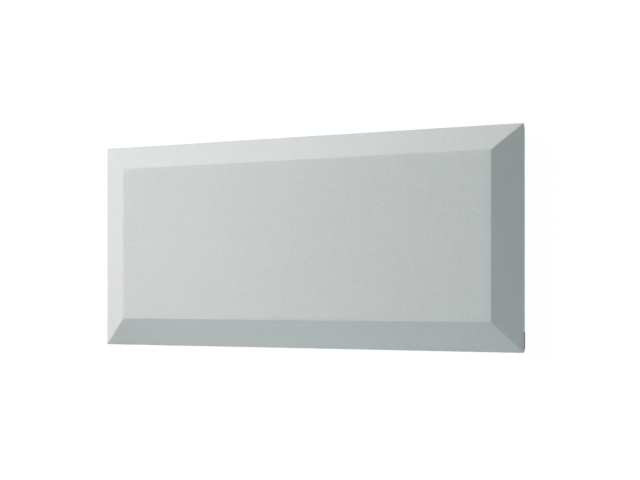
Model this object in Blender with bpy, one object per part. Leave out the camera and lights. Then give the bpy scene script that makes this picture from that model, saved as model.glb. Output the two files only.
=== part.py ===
"""Upholstered acoustic wall tile: an oblong of sound-absorbing board with four mitred bevels
round a flat front, covered in cloth, and a plain dark tag on its right side wall. The bevel
along the upper edge is a little narrower than the other three.

Metres, +Z up. The tile lies on its back: the back is at Z = 0 and the front looks up along +Z.
X runs along the tile's length, and +Y is towards the edge that is uppermost on the wall.
The origin is the middle of the back.
"""

import math

import bmesh
import bpy
from mathutils import Vector

# Driving dimensions of the tile
TILE_LENGTH = 0.825
TILE_HEIGHT = 0.400
SIDE_WALL = 0.042  # straight wall from the back up to the foot of the bevels
BEVEL_RUN = 0.054  # width of a bevel, measured along the tile's face
UPPER_BEVEL_RUN = 0.0485  # width of the bevel along the upper edge
BEVEL_RISE = 0.028  # how far the front stands out beyond the side walls
EDGE_ROUNDING = 0.003  # how far back from each edge the cloth starts to curve over it
EDGE_SEGMENTS = 4

# Driving dimensions of the tag
TAG_LENGTH = 0.030  # along the tile's height
TAG_DEPTH = 0.034  # along the tile's thickness
TAG_THICKNESS = 0.0006
TAG_ABOVE_LOWER_EDGE = 0.005
TAG_ABOVE_BACK = 0.004
TAG_ROUNDING = 0.0002
TAG_SEGMENTS = 1
SEAT_CLEARANCE = 0.0003  # between the tag and the wall that it lies on

SHARP_ANGLE = math.radians(35)  # faces that turn by more than this meet in a sharp edge


def remove_everything():
    """Empty the scene."""
    for thing in list(bpy.data.objects):
        bpy.data.objects.remove(thing, do_unlink=True)


def material(name, colour, roughness):
    """A plain, non-metallic Principled material."""
    made = bpy.data.materials.new(name)
    made.use_nodes = True
    shader = made.node_tree.nodes["Principled BSDF"]
    shader.inputs["Base Color"].default_value = (*colour, 1.0)
    shader.inputs["Roughness"].default_value = roughness
    shader.inputs["Metallic"].default_value = 0.0
    return made


def rectangle(mesh, low, high, z):
    """A level rectangle's vertices from its low and high (x, y), counter-clockwise from above."""
    corners = (low, (high[0], low[1]), high, (low[0], high[1]))
    return [mesh.verts.new((x, y, z)) for x, y in corners]


def stacked_rectangles(rings):
    """A closed mesh through level rectangles (low, high, z), the lowest first."""
    mesh = bmesh.new()
    loops = [rectangle(mesh, *ring) for ring in rings]
    mesh.faces.new(reversed(loops[0]))
    for lower, upper in zip(loops, loops[1:]):
        for i in range(4):
            j = (i + 1) % 4
            mesh.faces.new((lower[i], lower[j], upper[j], upper[i]))
    mesh.faces.new(loops[-1])
    return mesh


def round_edges(mesh, offset, segments):
    """Round every edge of a convex mesh."""
    bmesh.ops.bevel(
        mesh,
        geom=list(mesh.edges),
        offset=offset,
        offset_type="OFFSET",
        segments=segments,
        profile=0.5,
        affect="EDGES",
    )


def add_object(name, mesh, location, finish):
    """An object from a bmesh, shaded smooth with its real corners kept sharp."""
    data = bpy.data.meshes.new(name)
    mesh.to_mesh(data)
    mesh.free()
    data.materials.append(finish)
    data.shade_smooth()
    data.set_sharp_from_angle(angle=SHARP_ANGLE)
    made = bpy.data.objects.new(name, data)
    made.location = location
    bpy.context.scene.collection.objects.link(made)
    return made


def add_tile(finish):
    """The tile: straight side walls, four mitred bevels and the flat front, all one piece."""
    low = (-TILE_LENGTH / 2, -TILE_HEIGHT / 2)
    high = (TILE_LENGTH / 2, TILE_HEIGHT / 2)
    front_low = (low[0] + BEVEL_RUN, low[1] + BEVEL_RUN)
    front_high = (high[0] - BEVEL_RUN, high[1] - UPPER_BEVEL_RUN)
    rings = (
        (low, high, 0.0),
        (low, high, SIDE_WALL),
        (front_low, front_high, SIDE_WALL + BEVEL_RISE),
    )
    mesh = stacked_rectangles(rings)
    round_edges(mesh, EDGE_ROUNDING, EDGE_SEGMENTS)
    return add_object("upholstered_tile", mesh, Vector((0.0, 0.0, 0.0)), finish)


def add_tag(finish):
    """The tag: a flat strip flush against the right side wall, close to the lower corner."""
    half = Vector((TAG_THICKNESS / 2, TAG_LENGTH / 2, TAG_DEPTH / 2))
    low, high = (-half.x, -half.y), (half.x, half.y)
    mesh = stacked_rectangles(((low, high, -half.z), (low, high, half.z)))
    round_edges(mesh, TAG_ROUNDING, TAG_SEGMENTS)
    location = Vector(
        (
            TILE_LENGTH / 2 + SEAT_CLEARANCE + half.x,
            -TILE_HEIGHT / 2 + TAG_ABOVE_LOWER_EDGE + half.y,
            TAG_ABOVE_BACK + half.z,
        )
    )
    return add_object("side_tag", mesh, location, finish)


def build():
    """Make both pieces of the tile."""
    remove_everything()
    cloth = material("light_grey_cloth", (0.58, 0.62, 0.61), 0.9)
    woven_tag = material("dark_grey_tag", (0.085, 0.09, 0.095), 0.85)
    add_tile(cloth)
    add_tag(woven_tag)


build()
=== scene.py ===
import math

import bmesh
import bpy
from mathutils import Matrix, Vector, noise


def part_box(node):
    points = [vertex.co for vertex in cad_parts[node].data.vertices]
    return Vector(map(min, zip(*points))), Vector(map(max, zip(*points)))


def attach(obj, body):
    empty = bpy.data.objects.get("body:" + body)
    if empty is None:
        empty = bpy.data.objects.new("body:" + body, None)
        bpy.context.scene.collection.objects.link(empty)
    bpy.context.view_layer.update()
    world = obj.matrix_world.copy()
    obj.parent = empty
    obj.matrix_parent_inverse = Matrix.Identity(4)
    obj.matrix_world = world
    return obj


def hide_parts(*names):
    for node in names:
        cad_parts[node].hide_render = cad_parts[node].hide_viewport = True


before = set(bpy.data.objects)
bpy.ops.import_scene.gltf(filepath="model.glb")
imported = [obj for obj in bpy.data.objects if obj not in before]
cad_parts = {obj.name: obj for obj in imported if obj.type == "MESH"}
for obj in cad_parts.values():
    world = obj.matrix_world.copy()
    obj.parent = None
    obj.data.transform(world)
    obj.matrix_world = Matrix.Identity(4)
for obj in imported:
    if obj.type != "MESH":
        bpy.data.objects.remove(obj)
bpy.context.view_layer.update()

# The looks of an upholstered acoustic wall tile that lies on its back, with the camera above its front.
# The cloth is drawn over the front, the bevels and the side walls, and its hem is glued to the back.
# A plain woven tag lies on the right side wall. Lengths are in metres.

# The tile, as it was made
TILE_LOW, TILE_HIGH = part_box("upholstered_tile")
TAG_LOW, TAG_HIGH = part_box("side_tag")
HALF_X = (TILE_HIGH.x - TILE_LOW.x) / 2
HALF_Y = (TILE_HIGH.y - TILE_LOW.y) / 2
THICKNESS = TILE_HIGH.z
BEVEL_RUN = 0.054
UPPER_BEVEL_RUN = 0.0485
BEVEL_RISE = 0.028
WALL_TOP = THICKNESS - BEVEL_RISE
BEVEL_SLOPE = BEVEL_RISE / BEVEL_RUN

# How the cloth softens the tile's edges
RIDGE_SOFTNESS = 0.0006  # half width of the soft ridge between front and bevel
MITRE_SOFTNESS = 0.0008  # the same for the mitres, measured along the tile's face
RIM_RADIUS = 0.0022  # between a bevel and its side wall
BACK_RADIUS = 0.0025  # between a side wall and the back
CORNER_RADIUS = 0.0008  # of the tile's outline, seen from the front

# The rim's arc
BEVEL_ANGLE = math.atan(BEVEL_SLOPE)
RIM_TURN = math.pi / 2 - BEVEL_ANGLE
RIM_TANGENT = RIM_RADIUS * math.tan(RIM_TURN / 2)
RIM_CENTRE_HEIGHT = WALL_TOP - RIM_TANGENT

# The unevenness of the cloth
DRAPE_HEIGHT = 0.00012
DRAPE_LENGTH = 0.070
SMALL_DRAPE_SHARE = 0.4  # of the smaller waves in it
SMALL_DRAPE_LENGTH = DRAPE_LENGTH / 2.7
DRAPE_SHIFT = Vector((3.1, 7.7, 1.3))
SMALL_DRAPE_SHIFT = Vector((9.2, 2.4, 5.8))

# The back
HEM_WIDTH = 0.036
HEM_FLAT_FROM = BACK_RADIUS + 0.001  # further inside the outline than this, the hem is flat and mitred
HEM_LIP = 0.0003  # how far the hem's inner edge is rounded
HEM_GROOVE = 0.0005  # depth of the mitred fold at the hem's corners
CLOTH_THICKNESS = 0.0009

# The mesh's spacing
GRID_INSET = 0.006  # the grid of the front ends this far inside the outline
CORNER_STEPS = (0.0, 0.0015, 0.0032, 0.0052, 0.0080)
CORNER_ZONE = CORNER_STEPS[-1]  # along each side from a corner, where the rings follow its rounding
NARROWED_ABOVE = WALL_TOP / 2  # rings above this height follow the narrower upper bevel
BEVEL_STEP = 0.002
FIELD_STEP = 0.008
RIDGE_STEP = 0.0003
RIM_STEPS = 6
WALL_STEP = 0.006
BACK_STEPS = 4
HEM_STEP = 0.006
SAME_PLACE = 1e-6

# The ribbon, folded once, with its fold towards the tile's front
RIBBON_THICKNESS = 0.00022
RIBBON_WALL = HALF_X + 0.00012  # where the ribbon lies against the side wall
RIBBON_STAND = 0.00046  # how far the folded ribbon stands out
RIBBON_OUTER = RIBBON_WALL + RIBBON_STAND
RIBBON_PINCH = 0.00012  # how far the stitches pull its outer layer in
RIBBON_END_STEP = 0.0002  # how much shorter its outer layer is than its inner one
RIBBON_TRIM = 0.0007  # how much shorter the ribbon's lower end is than its place
RIBBON_START = TAG_LOW.y + RIBBON_TRIM
RIBBON_LENGTH = TAG_HIGH.y - TAG_LOW.y - RIBBON_TRIM
RIBBON_RISE = 0.0022  # how far the fold reaches above the ribbon's place
RIBBON_WAVE = 0.0001  # unevenness of the fold
RIBBON_STEPS = 24
LAYER_STEPS = 3
LAYER_STEP_SHARE = 0.2  # each step's share of the ribbon's height
FOLD_STEPS = 8
RIBBON_SHARP_ANGLE = math.radians(50)

# The stitches that hold the ribbon
STITCH_COUNT = 9
STITCH_RADIUS = 0.00016
STITCH_LENGTH = 0.0024
STITCH_SINK = 0.00008  # how far a stitch's middle lies inside the ribbon's outer face
STITCH_ABOVE_EDGE = 0.0018
STITCH_SIDES = 8
STITCH_STEPS = 8
STITCH_PINCH = 0.08  # share of a half wave that is cut off at each end of a stitch

# Colours, linear
CLOTH_COLOUR = (0.605, 0.640, 0.635)
FELT_COLOUR = (0.50, 0.50, 0.49)
TAG_COLOUR = (0.052, 0.055, 0.061)
THREAD_COLOUR = (0.16, 0.165, 0.17)

# The weave
THREAD_PITCH = 0.00198
WEAVE_DEPTH = 0.00035
OVERLAP_SHARPNESS = 4.0  # how quickly one thread gives way to the one that crosses over it
THREAD_FLATNESS = 0.55  # 1 for a round thread, less for a flat one
THREAD_DIP = 0.6  # share of its height that a thread loses beside a crossing
WOBBLE = 0.5  # how far the threads stray, in threads
WOBBLE_SCALE = 90.0
SLUB_SCALE = 1.3  # of the thick and thin places, for each thread
SLUB_STRETCH = 0.12
FIBRE_SCALE = 3200.0
MOTTLE_SCALE = 190.0
CLOUD_SCALE = 9.0
WEFT_TONE_SHIFT = 0.37  # keeps the tones of the weft threads apart from those of the warp
FIBRE_RELIEF = 0.25  # how far the fibres stand out, as a share of the weave

# How much each pattern changes the cloth's brightness. The weave's height darkens the hollows between the
# threads: a painted shade.
CLOTH_BASE = 0.91
WEAVE_HOLLOW_SHADE = 0.12
WARP_OVER_WEFT = 0.105  # how much lighter the warp threads are than the weft
TONE_SWING = 0.02
SLUB_SWING = 0.03
FIBRE_SWING = 0.12
MOTTLE_SWING = 0.13
CLOUD_SWING = 0.02

# Small patterns of the other materials
FELT_FIBRE_SCALE = 900.0
FELT_FLECK_SCALE = 220.0
FELT_CLOUD_SCALE = 14.0
FELT_DEPTH = 0.0006
FELT_BASE = 0.80
FELT_FIBRE_SWING = 0.22
FELT_FLECK_SWING = 0.12
FELT_CLOUD_SWING = 0.10
RIB_PITCH = 0.00045  # of the ribbon
RIB_THREAD_PITCH = 0.00030
RIB_FIBRE_SCALE = 2600.0
RIB_DEPTH = 0.00012
RIB_NOTCH = 0.4  # share of a rib's height that it loses between two threads
RIB_BASE = 0.65
# how much darker the grooves between the ribs are: painted shade
RIB_GROOVE_SHADE = 0.5
RIB_FIBRE_SWING = 0.3
TWIST_PITCH = 0.0005  # of the sewing thread
TWIST_DEPTH = 0.00004
TWIST_BASE = 0.95
# how much darker the grooves between the strands are: painted shade
TWIST_GROOVE_SHADE = 0.2

# The camera and its lens
CAMERA_PLACE = (0.4644, -0.0982, 1.4327)
CAMERA_TILT = math.radians(16.88)  # from straight down, towards the tile's left end
FRAME_WIDTH = 640  # pixels
FOCAL_PIXELS = 775.1
SENSOR_WIDTH = 36.0  # millimetres
AXIS_BELOW_CENTRE = 54.4  # pixels from the frame's centre down to where the lens points

# Light: soft square lamps, each with its place, size, power and colour
LAMPS = {
    "key": ((-4.6, 3.9, 2.5), 1.8, 474.0, (1.0, 0.982, 0.968)),
    "right": ((3.5, -2.02, 1.97), 1.2, 76.9, (0.886, 1.0, 0.99)),
    "above_left": ((-0.52, 0.0, 0.9), 0.3, 2.95, (1.0, 0.896, 0.886)),
    "top_near": ((0.0, 0.78, 0.65), 0.3, 1.04, (0.835, 0.893, 1.0)),
    "below_low": ((0.0, -1.04, 0.3), 0.3, 2.51, (0.871, 0.948, 1.0)),
}
LAMP_TARGET = (0.0, 0.0, 0.0)
SKY_STRENGTH = 0.04
SKY_COLOUR = (0.92, 0.97, 1.0)
WHITE = (1.0, 1.0, 1.0)

# The floor
FLOOR_HALF = 8.0
FLOOR_DROP = 0.0001  # how far it lies below the tile
FLOOR_PALE = (0.8, 0.8, 0.8)  # what the light meets
FLOOR_SHADED = (0.10, 0.10, 0.10)  # what is seen: the part of it that takes the shadow
GLOW_NEAR = 0.955  # what is seen: the steady rest of it, round the tile
GLOW_FAR = 1.0  # and far from the tile
GLOW_NEAR_REACH = 0.8  # distances from the tile's middle between which the one grows into the other
GLOW_FAR_REACH = 2.6


# Node helpers


class Nodes:
    """Short calls for the nodes of one material."""

    def __init__(self, name):
        self.material = bpy.data.materials.new(name)
        self.material.use_nodes = True
        self.tree = self.material.node_tree
        self.shader = self.tree.nodes["Principled BSDF"]

    def add(self, kind, **settings):
        node = self.tree.nodes.new(kind)
        for key, value in settings.items():
            setattr(node, key, value)
        return node

    def link(self, source, target):
        self.tree.links.new(source, target)

    def plug(self, value, socket):
        """Set a socket to a number, or link it to another socket."""
        if isinstance(value, (int, float, tuple)):
            socket.default_value = value
        else:
            self.link(value, socket)

    def math(self, operation, first, second=None, third=None, clamp=False):
        node = self.add("ShaderNodeMath", operation=operation, use_clamp=clamp)
        for value, socket in zip((first, second, third), node.inputs):
            if value is not None:
                self.plug(value, socket)
        return node.outputs[0]

    def mix(self, factor, first, second):
        """Between two numbers."""
        node = self.add("ShaderNodeMix", data_type="FLOAT")
        self.plug(factor, node.inputs[0])
        self.plug(first, node.inputs[2])
        self.plug(second, node.inputs[3])
        return node.outputs[0]

    def vector(self, x, y, z):
        node = self.add("ShaderNodeCombineXYZ")
        for value, socket in zip((x, y, z), node.inputs):
            self.plug(value, socket)
        return node.outputs[0]

    def split(self, vector):
        node = self.add("ShaderNodeSeparateXYZ")
        self.link(vector, node.inputs[0])
        return node.outputs[0], node.outputs[1], node.outputs[2]

    def place(self):
        """Where a point is on the object."""
        return self.add("ShaderNodeTexCoord").outputs["Object"]

    def uv(self, name):
        return self.add("ShaderNodeUVMap", uv_map=name).outputs[0]

    def noise(self, vector, scale, detail=2.0, roughness=0.5):
        node = self.add("ShaderNodeTexNoise")
        self.link(vector, node.inputs["Vector"])
        node.inputs["Scale"].default_value = scale
        node.inputs["Detail"].default_value = detail
        node.inputs["Roughness"].default_value = roughness
        return node.outputs["Fac"]

    def random(self, value):
        """A steady random number for each whole number."""
        node = self.add("ShaderNodeTexWhiteNoise", noise_dimensions="1D")
        self.link(value, node.inputs["W"])
        return node.outputs["Value"]

    def wave(self, value):
        """A sine that passes through nought at each whole number."""
        return self.math("SINE", self.math("MULTIPLY", value, math.pi))

    def ridges(self, value, pitch):
        """A row of round ridges."""
        return self.math("ABSOLUTE", self.math("SINE", self.math("MULTIPLY", value, math.pi / pitch)))

    def brightness(self, base, pattern, amount, swings=()):
        """A base with a pattern added to it, and with others that swing both ways."""
        total = self.math("MULTIPLY_ADD", pattern, amount, base)
        for other, swing in swings:
            total = self.math("ADD", total, self.math("MULTIPLY_ADD", other, swing, -swing / 2))
        return total

    def paint(self, colour, brightness):
        """Give the shader a colour times a varying number."""
        node = self.add("ShaderNodeVectorMath", operation="SCALE")
        node.inputs[0].default_value = colour
        self.link(brightness, node.inputs["Scale"])
        self.link(node.outputs[0], self.shader.inputs["Base Color"])

    def bump(self, height, distance, strength):
        node = self.add("ShaderNodeBump")
        node.inputs["Strength"].default_value = strength
        node.inputs["Distance"].default_value = distance
        self.link(height, node.inputs["Height"])
        self.link(node.outputs[0], self.shader.inputs["Normal"])


# Materials


def weave(nodes, across, along):
    """Plain weave: height, a tone for each thread, and where the warp is on top."""
    sine_across = nodes.wave(across)
    sine_along = nodes.wave(along)
    crossing = nodes.math("MULTIPLY", sine_across, sine_along)
    warp_on_top = nodes.math("MULTIPLY_ADD", crossing, OVERLAP_SHARPNESS, 0.5, clamp=True)
    round_across = nodes.math("POWER", nodes.math("ABSOLUTE", sine_across), THREAD_FLATNESS)
    round_along = nodes.math("POWER", nodes.math("ABSOLUTE", sine_along), THREAD_FLATNESS)
    dip_along = nodes.math("MULTIPLY_ADD", round_along, THREAD_DIP, 1 - THREAD_DIP)
    dip_across = nodes.math("MULTIPLY_ADD", round_across, THREAD_DIP, 1 - THREAD_DIP)
    warp_height = nodes.math("MULTIPLY", round_across, dip_along)
    weft_height = nodes.math("MULTIPLY", round_along, dip_across)
    height = nodes.mix(warp_on_top, weft_height, warp_height)
    warp_tone = nodes.random(nodes.math("FLOOR", across))
    weft_tone = nodes.random(nodes.math("ADD", nodes.math("FLOOR", along), WEFT_TONE_SHIFT))
    tone = nodes.mix(warp_on_top, weft_tone, warp_tone)
    return height, tone, warp_on_top


def cloth_material():
    """Light grey plain-woven upholstery cloth, with melange threads, a little fuzz and painted shade
    between the threads.
    """
    nodes = Nodes("woven_cloth")
    across, along, _ = nodes.split(nodes.uv("threads"))
    across = nodes.math("DIVIDE", across, THREAD_PITCH)
    along = nodes.math("DIVIDE", along, THREAD_PITCH)
    place = nodes.place()
    wobble = nodes.noise(place, WOBBLE_SCALE, detail=1.0)
    across = nodes.math("MULTIPLY_ADD", wobble, WOBBLE, across)
    along = nodes.math("MULTIPLY_ADD", wobble, -WOBBLE, along)
    height, tone, warp_on_top = weave(nodes, across, along)
    slub = nodes.noise(nodes.vector(across, nodes.math("MULTIPLY", along, SLUB_STRETCH), 0.0), SLUB_SCALE)
    fibre = nodes.noise(place, FIBRE_SCALE)
    mottle = nodes.noise(place, MOTTLE_SCALE)
    cloud = nodes.noise(place, CLOUD_SCALE, detail=3.0)
    swings = (
        (warp_on_top, WARP_OVER_WEFT),
        (tone, TONE_SWING),
        (slub, SLUB_SWING),
        (fibre, FIBRE_SWING),
        (mottle, MOTTLE_SWING),
        (cloud, CLOUD_SWING),
    )
    # The brightness grows with the weave's height, so the hollows between the threads carry painted
    # shade.
    nodes.paint(CLOTH_COLOUR, nodes.brightness(CLOTH_BASE, height, WEAVE_HOLLOW_SHADE, swings))
    nodes.link(nodes.math("MULTIPLY_ADD", fibre, 0.1, 0.86), nodes.shader.inputs["Roughness"])
    nodes.shader.inputs["Specular IOR Level"].default_value = 0.25
    nodes.shader.inputs["Sheen Weight"].default_value = 0.03
    nodes.shader.inputs["Sheen Roughness"].default_value = 0.6
    nodes.bump(nodes.math("MULTIPLY_ADD", fibre, FIBRE_RELIEF, height), WEAVE_DEPTH, 0.8)
    return nodes.material


def felt_material():
    """Pressed felt of the tile's back, inside the hem."""
    nodes = Nodes("pressed_felt")
    place = nodes.place()
    fibre = nodes.noise(place, FELT_FIBRE_SCALE, detail=4.0, roughness=0.7)
    fleck = nodes.noise(place, FELT_FLECK_SCALE)
    cloud = nodes.noise(place, FELT_CLOUD_SCALE, detail=3.0)
    swings = ((fleck, FELT_FLECK_SWING), (cloud, FELT_CLOUD_SWING))
    nodes.paint(FELT_COLOUR, nodes.brightness(FELT_BASE, fibre, FELT_FIBRE_SWING, swings))
    nodes.shader.inputs["Roughness"].default_value = 0.95
    nodes.shader.inputs["Specular IOR Level"].default_value = 0.2
    nodes.shader.inputs["Sheen Weight"].default_value = 0.1
    nodes.bump(nodes.math("ADD", fibre, fleck), FELT_DEPTH, 0.7)
    return nodes.material


def tag_material():
    """Dark grey ribbed ribbon, with painted shade in the grooves between its ribs and threads."""
    nodes = Nodes("ribbed_ribbon")
    place = nodes.place()
    _, y, z = nodes.split(place)
    rib = nodes.ridges(z, RIB_PITCH)
    thread = nodes.ridges(y, RIB_THREAD_PITCH)
    notches = nodes.math("MULTIPLY_ADD", thread, RIB_NOTCH, 1 - RIB_NOTCH)
    height = nodes.math("MULTIPLY", rib, notches)
    fibre = nodes.noise(place, RIB_FIBRE_SCALE)
    swings = ((fibre, RIB_FIBRE_SWING),)
    # Brightness follows the ribs' height: painted shade in the grooves between ribs and threads.
    nodes.paint(TAG_COLOUR, nodes.brightness(RIB_BASE, height, RIB_GROOVE_SHADE, swings))
    nodes.shader.inputs["Roughness"].default_value = 0.8
    nodes.shader.inputs["Sheen Weight"].default_value = 0.15
    nodes.bump(height, RIB_DEPTH, 0.8)
    return nodes.material


def thread_material():
    """Sewing thread of two twisted strands, with painted shade in the grooves between them."""
    nodes = Nodes("sewing_thread")
    _, y, z = nodes.split(nodes.place())
    slant = nodes.math("ADD", y, z)
    twist = nodes.math("SINE", nodes.math("MULTIPLY", slant, 2 * math.pi / TWIST_PITCH))
    # Brightness follows the twist: painted shade in the grooves between the strands.
    nodes.paint(THREAD_COLOUR, nodes.brightness(TWIST_BASE, twist, TWIST_GROOVE_SHADE))
    nodes.shader.inputs["Roughness"].default_value = 0.6
    nodes.bump(twist, TWIST_DEPTH, 0.6)
    return nodes.material


def camera_ray_paint(tree, seen, lit):
    """Join two shaders: one for what looks at the surface or mirrors it, the other for the light."""
    rays = tree.nodes.new("ShaderNodeLightPath")
    looks = tree.nodes.new("ShaderNodeMath")
    looks.operation = "MAXIMUM"
    tree.links.new(rays.outputs["Is Camera Ray"], looks.inputs[0])
    tree.links.new(rays.outputs["Is Glossy Ray"], looks.inputs[1])
    through = tree.nodes.new("ShaderNodeMath")
    through.operation = "MAXIMUM"
    tree.links.new(looks.outputs[0], through.inputs[0])
    tree.links.new(rays.outputs["Is Transmission Ray"], through.inputs[1])
    mixed = tree.nodes.new("ShaderNodeMixShader")
    tree.links.new(through.outputs[0], mixed.inputs[0])
    tree.links.new(lit, mixed.inputs[1])
    tree.links.new(seen, mixed.inputs[2])
    return mixed.outputs[0]


def floor_glow(nodes):
    """The floor's own light, which grows with the distance from the tile."""
    distance = nodes.add("ShaderNodeVectorMath", operation="LENGTH")
    nodes.link(nodes.place(), distance.inputs[0])
    away = nodes.math("SUBTRACT", distance.outputs["Value"], GLOW_NEAR_REACH)
    share = nodes.math("DIVIDE", away, GLOW_FAR_REACH - GLOW_NEAR_REACH, clamp=True)
    glow = nodes.add("ShaderNodeEmission")
    nodes.link(nodes.mix(share, GLOW_NEAR, GLOW_FAR), glow.inputs["Strength"])
    return glow.outputs[0]


def floor_material():
    """White to the eye, but for the tile's soft shadow, and pale to the light."""
    nodes = Nodes("pale_floor")
    nodes.tree.nodes.remove(nodes.shader)
    pale = nodes.add("ShaderNodeBsdfDiffuse")
    pale.inputs["Color"].default_value = (*FLOOR_PALE, 1.0)
    shaded = nodes.add("ShaderNodeBsdfDiffuse")
    shaded.inputs["Color"].default_value = (*FLOOR_SHADED, 1.0)
    seen = nodes.add("ShaderNodeAddShader")
    nodes.link(shaded.outputs[0], seen.inputs[0])
    nodes.link(floor_glow(nodes), seen.inputs[1])
    paint = camera_ray_paint(nodes.tree, seen.outputs[0], pale.outputs[0])
    nodes.link(paint, nodes.tree.nodes["Material Output"].inputs["Surface"])
    return nodes.material


# The front and bevels of the cloth cover


def soft_minimum(first, second, width):
    """The lesser of two numbers, blended where they differ by less than width."""
    overlap = max(width - abs(first - second), 0.0) / width
    return min(first, second) - overlap * overlap * width / 4


def spread(start, end, step):
    """Evenly spaced values after start, up to and including end."""
    count = max(1, round((end - start) / step))
    return [start + (end - start) * (i + 1) / count for i in range(count)]


def grid_insets(half):
    """Distances inside the outline at which the front's grid lines lie, as far as the middle."""
    insets = [GRID_INSET + step for step in CORNER_STEPS]
    insets += spread(insets[-1], BEVEL_RUN - RIDGE_SOFTNESS, BEVEL_STEP)
    insets += spread(insets[-1], BEVEL_RUN + RIDGE_SOFTNESS, RIDGE_STEP)
    insets += spread(insets[-1], half, FIELD_STEP)
    return insets


def grid_line(half):
    """Coordinates of the grid lines from one edge to the other."""
    insets = grid_insets(half)
    lower = [inset - half for inset in insets]
    return lower + [-value for value in reversed(lower[:-1])]


def drape(x, y, z):
    """How far the cloth stands off its smooth shape."""
    place = Vector((x, y, z))
    slow = noise.noise(place / DRAPE_LENGTH + DRAPE_SHIFT)
    quick = noise.noise(place / SMALL_DRAPE_LENGTH + SMALL_DRAPE_SHIFT)
    return DRAPE_HEIGHT * (slow + SMALL_DRAPE_SHARE * quick)


def narrowed(y):
    """Where a line along the face lies once the upper bevel is made narrower than the other three."""
    lower_ridge, upper_ridge = BEVEL_RUN - HALF_Y, HALF_Y - BEVEL_RUN
    if y > upper_ridge:
        return HALF_Y - (HALF_Y - y) * UPPER_BEVEL_RUN / BEVEL_RUN
    share = max(y - lower_ridge, 0.0) / (upper_ridge - lower_ridge)
    return y + share * (BEVEL_RUN - UPPER_BEVEL_RUN)


def front_height(x, y):
    """Height of the front and bevels over the back, while all the bevels are equally wide."""
    inset = soft_minimum(HALF_X - abs(x), HALF_Y - abs(y), MITRE_SOFTNESS)
    bevel = WALL_TOP + BEVEL_SLOPE * inset
    return soft_minimum(bevel, THICKNESS, 2 * BEVEL_SLOPE * RIDGE_SOFTNESS)


# The sides, in order: lower, right, upper, left. Each has its direction along the rings and outward.
SIDES = (((1, 0), (0, -1)), ((0, 1), (1, 0)), ((-1, 0), (0, 1)), ((0, -1), (-1, 0)))
LOWER, RIGHT, UPPER, LEFT = range(4)


def side_halves(side):
    """Half of the tile's size along a side, and across it."""
    return (HALF_X, HALF_Y) if side in (LOWER, UPPER) else (HALF_Y, HALF_X)


def beside(side, run, out):
    """A point from its distances along and across a side."""
    (run_x, run_y), (out_x, out_y) = SIDES[side]
    return run * run_x + out * out_x, run * run_y + out * out_y


def nearest_side(x, y):
    """The side whose bevel a point of the face would be on."""
    if HALF_Y - abs(y) < HALF_X - abs(x):
        return LOWER if y < 0 else UPPER
    return RIGHT if x > 0 else LEFT


def unrolled(side, out):
    """A distance across the tile towards a side, measured along the cloth."""
    run = UPPER_BEVEL_RUN if side == UPPER else BEVEL_RUN
    beyond_ridge = max(0.0, out - (side_halves(side)[1] - run))
    return out + beyond_ridge * (math.hypot(run, BEVEL_RISE) / run - 1)


def face_threads(points):
    """Thread coordinates for the corners of one face of the front or a bevel."""
    count = len(points)
    side = nearest_side(sum(x for x, _ in points) / count, sum(y for _, y in points) / count)
    _, (out_x, out_y) = SIDES[side]
    coordinates = []
    for x, y in points:
        y = narrowed(y)
        out = x * out_x + y * out_y
        extra = unrolled(side, out) - out
        coordinates.append((x + extra * out_x, y + extra * out_y))
    return coordinates


def add_face(mesh, vertices, coordinates):
    """A smooth face with its thread coordinates."""
    threads = mesh.loops.layers.uv.verify()
    face = mesh.faces.new(vertices)
    face.smooth = True
    for loop, place in zip(face.loops, coordinates):
        loop[threads].uv = place


def grid_quad_parts(points):
    """The corners of a grid quad's faces: two faces that meet along the mitre where it lies on one."""
    x, y = (points[0][0] + points[2][0]) / 2, (points[0][1] + points[2][1]) / 2
    inset_x, inset_y = HALF_X - abs(x), HALF_Y - abs(y)
    if abs(inset_x - inset_y) >= BEVEL_STEP / 4 or inset_x >= BEVEL_RUN + RIDGE_SOFTNESS:
        return ((0, 1, 2, 3),)
    if x * y > 0:
        return ((0, 1, 2), (0, 2, 3))
    return ((0, 1, 3), (1, 2, 3))


def add_front(mesh, xs, ys):
    """The grid over the front and the bevels; returns its outermost vertices in the rings' order."""
    grid = []
    for x in xs:
        heights = [front_height(x, y) + drape(x, y, 0.0) for y in ys]
        grid.append([mesh.verts.new((x, narrowed(y), height)) for y, height in zip(ys, heights)])
    for i in range(len(xs) - 1):
        for j in range(len(ys) - 1):
            corners = ((i, j), (i + 1, j), (i + 1, j + 1), (i, j + 1))
            vertices = [grid[a][b] for a, b in corners]
            points = [(xs[a], ys[b]) for a, b in corners]
            for part in grid_quad_parts(points):
                add_face(mesh, [vertices[k] for k in part], face_threads([points[k] for k in part]))
    lower = [column[0] for column in grid[:-1]]
    right = grid[-1][:-1]
    upper = [column[-1] for column in reversed(grid[1:])]
    left = list(reversed(grid[0][1:]))
    return lower + right + upper + left


# The side walls and the hem of the cloth cover


def rim_profile():
    """Steps (inset, height, corner radius) over the rim, from the foot of the bevel into the wall."""
    foot = RIM_TANGENT * math.cos(BEVEL_ANGLE)
    steps = [(foot, WALL_TOP + BEVEL_SLOPE * foot, CORNER_RADIUS / 2)]
    for i in range(1, RIM_STEPS + 1):
        angle = BEVEL_ANGLE + RIM_TURN * i / RIM_STEPS
        inset = RIM_RADIUS - RIM_RADIUS * math.sin(angle)
        height = RIM_CENTRE_HEIGHT + RIM_RADIUS * math.cos(angle)
        steps.append((inset, height, CORNER_RADIUS * (0.5 + 0.5 * i / RIM_STEPS)))
    return steps


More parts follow.
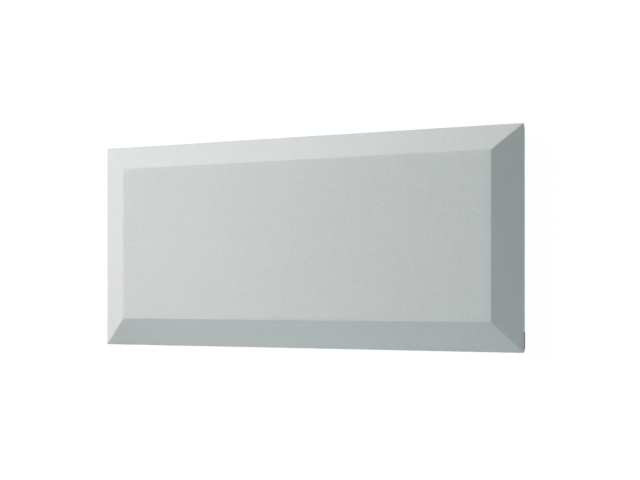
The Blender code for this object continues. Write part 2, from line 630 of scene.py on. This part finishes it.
def wall_profile():
    """Steps down the side wall and round its edge into the back."""
    steps = []
    for drop in spread(0.0, RIM_CENTRE_HEIGHT - BACK_RADIUS, WALL_STEP):
        steps.append((0.0, RIM_CENTRE_HEIGHT - drop, CORNER_RADIUS))
    for i in range(1, BACK_STEPS + 1):
        angle = math.pi / 2 * i / BACK_STEPS
        inset = BACK_RADIUS * (1 - math.cos(angle))
        height = BACK_RADIUS * (1 - math.sin(angle))
        steps.append((inset, height, CORNER_RADIUS * (1 - 0.5 * i / BACK_STEPS)))
    return steps


def hem_profile():
    """Steps across the hem, and over its inner edge up to the felt."""
    steps = [(inset, 0.0, 0.0) for inset in spread(BACK_RADIUS, HEM_WIDTH, HEM_STEP)]
    steps.append((HEM_WIDTH + HEM_LIP, HEM_LIP, 0.0))
    steps.append((HEM_WIDTH + HEM_LIP, CLOTH_THICKNESS, 0.0))
    return steps


def wall_threads(side, vertices, outs):
    """Thread coordinates for a quad beyond the grid, from each vertex's distance along the cloth."""
    (run_x, run_y), _ = SIDES[side]
    runs = [vertex.co.x * run_x + vertex.co.y * run_y for vertex in vertices]
    return [beside(side, run, out) for run, out in zip(runs, outs)]


def corner_point(share, half_run, half_out, zone_start, radius):
    """Distances along and across a side, at a share of its corner zone from the corner."""
    arc = radius * math.pi / 4
    straight = half_run - radius - zone_start
    along = share * (arc + straight)
    if radius > 0 and along < arc:
        angle = math.pi / 4 - along / radius
        run = half_run - radius + radius * math.sin(angle)
        return run, half_out - radius + radius * math.cos(angle)
    return half_run - radius - (along - arc), half_out


def ring_point(side, position, inset, radius):
    """A point of the outline at an inset, from a position along one side of the grid's edge."""
    half_run, half_out = side_halves(side)
    grid_half = half_run - GRID_INSET
    half_run -= inset
    half_out -= inset
    if inset > HEM_FLAT_FROM:
        return beside(side, position * half_run / grid_half, half_out)
    from_corner = grid_half - abs(position)
    if from_corner >= CORNER_ZONE:
        return beside(side, position, half_out)
    share = from_corner / CORNER_ZONE
    run, out = corner_point(share, half_run, half_out, grid_half - CORNER_ZONE, radius)
    return beside(side, math.copysign(run, position), out)


def ring_vertex(mesh, station, step):
    """One vertex of a ring round the tile, for a station of the outline and a step of the profile."""
    side, position = station
    inset, height, radius = step
    x, y = ring_point(side, position, inset, radius)
    if height > NARROWED_ABOVE:
        y = narrowed(y)
    if inset < BACK_RADIUS:
        wave = drape(x, y, height)
        _, (out_x, out_y) = SIDES[side]
        x, y = x + out_x * wave, y + out_y * wave
    on_corner = abs(abs(position) - (side_halves(side)[0] - GRID_INSET)) < SAME_PLACE
    if on_corner and height == 0.0 and inset > HEM_FLAT_FROM:
        height = HEM_GROOVE
    return mesh.verts.new((x, y, height))


def outline_stations(xs, ys):
    """The ring's vertices in order: each (side, position along it), counter-clockwise from above."""
    return [(side, position) for side in range(4) for position in (xs, ys)[side % 2][:-1]]


def add_ring_faces(mesh, stations, ring, last, travelled, step):
    """Quads from the last ring to one that lies a step further along the cloth."""
    for k, (side, _) in enumerate(stations):
        n = (k + 1) % len(stations)
        near = unrolled(side, side_halves(side)[1] - GRID_INSET) + travelled
        far = near + step
        corners = (ring[k], ring[n], last[n], last[k])
        add_face(mesh, corners, wall_threads(side, corners, (far, far, near, near)))


def add_rings(mesh, last, stations):
    """The rings from the grid's edge down the walls and under the hem; returns the innermost one."""
    travelled = 0.0
    previous = (GRID_INSET, WALL_TOP + BEVEL_SLOPE * GRID_INSET)
    for profile_step in rim_profile() + wall_profile() + hem_profile():
        ring = [ring_vertex(mesh, station, profile_step) for station in stations]
        step = math.dist(previous, profile_step[:2])
        add_ring_faces(mesh, stations, ring, last, travelled, step)
        last = ring
        travelled += step
        previous = profile_step[:2]
    return last


def finish_piece(name, mesh, materials):
    """An object from a bmesh."""
    data = bpy.data.meshes.new(name)
    mesh.to_mesh(data)
    mesh.free()
    for material in materials:
        data.materials.append(material)
    piece = bpy.data.objects.new(name, data)
    bpy.context.scene.collection.objects.link(piece)
    return piece


def build_cover(cloth, felt):
    """The whole cover: a grid over the front, rings down the walls and under the hem, and the back."""
    xs, ys = grid_line(HALF_X), grid_line(HALF_Y)
    mesh = bmesh.new()
    mesh.loops.layers.uv.new("threads")
    edge = add_front(mesh, xs, ys)
    edge = add_rings(mesh, edge, outline_stations(xs, ys))
    back = mesh.faces.new(list(reversed(edge)))
    back.material_index = 1
    bmesh.ops.triangulate(mesh, faces=[back])
    return finish_piece("cloth_cover", mesh, (cloth, felt))


# The tag


def add_tube(mesh, rings):
    """A closed tube through rings of vertices."""
    for near, far in zip(rings, rings[1:]):
        for k in range(len(near)):
            n = (k + 1) % len(near)
            face = mesh.faces.new((near[k], near[n], far[n], far[k]))
            face.smooth = True
    mesh.faces.new(rings[0])
    mesh.faces.new(list(reversed(rings[-1])))


def ribbon_section():
    """The folded ribbon across its length: (outward, height) round its outline, counter-clockwise."""
    low, high = TAG_LOW.z, TAG_HIGH.z + RIBBON_RISE
    radius = (RIBBON_OUTER - RIBBON_WALL) / 2
    points = [(RIBBON_WALL, low), (RIBBON_WALL + RIBBON_THICKNESS, low)]
    points.append((RIBBON_OUTER - RIBBON_PINCH, low + RIBBON_END_STEP))
    for i in range(1, LAYER_STEPS + 1):
        out = RIBBON_OUTER - RIBBON_PINCH * (1 - i / LAYER_STEPS)
        points.append((out, low + (high - low) * LAYER_STEP_SHARE * i))
    for i in range(FOLD_STEPS + 1):
        angle = math.pi * i / FOLD_STEPS
        out = RIBBON_WALL + radius + radius * math.cos(angle)
        points.append((out, high - radius + radius * math.sin(angle)))
    points.append((RIBBON_WALL, low + (high - low) / 2))
    return points


def build_tag(ribbon):
    """A ribbon folded once, with its fold towards the front and its ends at the back."""
    section = ribbon_section()
    mesh = bmesh.new()
    rings = []
    for i in range(RIBBON_STEPS + 1):
        t = i / RIBBON_STEPS
        y = RIBBON_START + RIBBON_LENGTH * t
        dip = RIBBON_WAVE * math.sin(t * math.pi * 3) * math.sin(t * math.pi)
        heights = [z + dip * (z - TAG_LOW.z) / (TAG_HIGH.z - TAG_LOW.z) for _, z in section]
        rings.append([mesh.verts.new((x, y, z)) for (x, _), z in zip(section, heights)])
    add_tube(mesh, rings)
    bmesh.ops.recalc_face_normals(mesh, faces=mesh.faces)
    piece = finish_piece("woven_tag", mesh, (ribbon,))
    piece.data.set_sharp_from_angle(angle=RIBBON_SHARP_ANGLE)
    return piece


def add_stitch(mesh, centre):
    """A short thread with pinched ends, along Y."""
    rings = []
    for i in range(STITCH_STEPS + 1):
        t = i / STITCH_STEPS
        swell = math.sin(math.pi * (STITCH_PINCH + (1 - 2 * STITCH_PINCH) * t)) ** 0.5
        radius = STITCH_RADIUS * swell
        y = centre.y + STITCH_LENGTH * (t - 0.5)
        ring = []
        for k in range(STITCH_SIDES):
            angle = 2 * math.pi * k / STITCH_SIDES
            x = centre.x + radius * math.cos(angle)
            z = centre.z + radius * math.sin(angle)
            ring.append(mesh.verts.new((x, y, z)))
        rings.append(ring)
    add_tube(mesh, rings)


def build_stitches(thread):
    """The row of stitches that holds the tag, along its ends."""
    mesh = bmesh.new()
    pitch = RIBBON_LENGTH / STITCH_COUNT
    for i in range(STITCH_COUNT):
        y = RIBBON_START + pitch * (i + 0.5)
        add_stitch(mesh, Vector((RIBBON_OUTER - STITCH_SINK, y, TAG_LOW.z + STITCH_ABOVE_EDGE)))
    bmesh.ops.recalc_face_normals(mesh, faces=mesh.faces)
    return finish_piece("tag_stitches", mesh, (thread,))


# The surroundings


def build_floor():
    """A wide pale floor just under the tile."""
    mesh = bmesh.new()
    low, high = -FLOOR_HALF, FLOOR_HALF
    corners = ((low, low), (high, low), (high, high), (low, high))
    mesh.faces.new([mesh.verts.new((x, y, -FLOOR_DROP)) for x, y in corners])
    floor = finish_piece("floor", mesh, (floor_material(),))


def add_area_light(name, place, size, power, colour):
    """A square soft light that faces the tile. The camera doesn't see the lamp itself."""
    light = bpy.data.lights.new(name, "AREA")
    light.shape = "SQUARE"
    light.size = size
    light.energy = power
    light.color = colour
    holder = bpy.data.objects.new(name, light)
    holder.location = place
    away = Vector(LAMP_TARGET) - Vector(place)
    holder.rotation_euler = away.to_track_quat("-Z", "Y").to_euler()
    holder.visible_camera = False
    bpy.context.scene.collection.objects.link(holder)


def build_sky():
    """Even light from all round, and white where the camera looks past the floor."""
    world = bpy.data.worlds.new("studio")
    bpy.context.scene.world = world
    world.use_nodes = True
    tree = world.node_tree
    even = tree.nodes["Background"]
    even.inputs["Color"].default_value = (*SKY_COLOUR, 1.0)
    even.inputs["Strength"].default_value = SKY_STRENGTH
    white = tree.nodes.new("ShaderNodeBackground")
    white.inputs["Color"].default_value = (*WHITE, 1.0)
    white.inputs["Strength"].default_value = 1.0
    paint = camera_ray_paint(tree, white.outputs[0], even.outputs[0])
    tree.links.new(paint, tree.nodes["World Output"].inputs["Surface"])


def build_camera():
    """A camera above the tile's right end, tilted towards its left end."""
    lens = bpy.data.cameras.new("camera")
    lens.sensor_width = SENSOR_WIDTH
    lens.lens = FOCAL_PIXELS * SENSOR_WIDTH / FRAME_WIDTH
    lens.shift_y = AXIS_BELOW_CENTRE / FRAME_WIDTH
    camera = bpy.data.objects.new("camera", lens)
    camera.location = CAMERA_PLACE
    camera.rotation_euler = (0.0, CAMERA_TILT, 0.0)
    bpy.context.scene.collection.objects.link(camera)
    bpy.context.scene.camera = camera


build_camera()
cover = build_cover(cloth_material(), felt_material())
tag = build_tag(tag_material())
stitches = build_stitches(thread_material())
for piece in (cover, tag, stitches):
    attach(piece, "root")
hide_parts("upholstered_tile")
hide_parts("side_tag")
build_floor()
for name, (place, size, power, colour) in LAMPS.items():
    add_area_light(name, place, size, power, colour)
build_sky()
bpy.context.scene.view_settings.view_transform = "Standard"
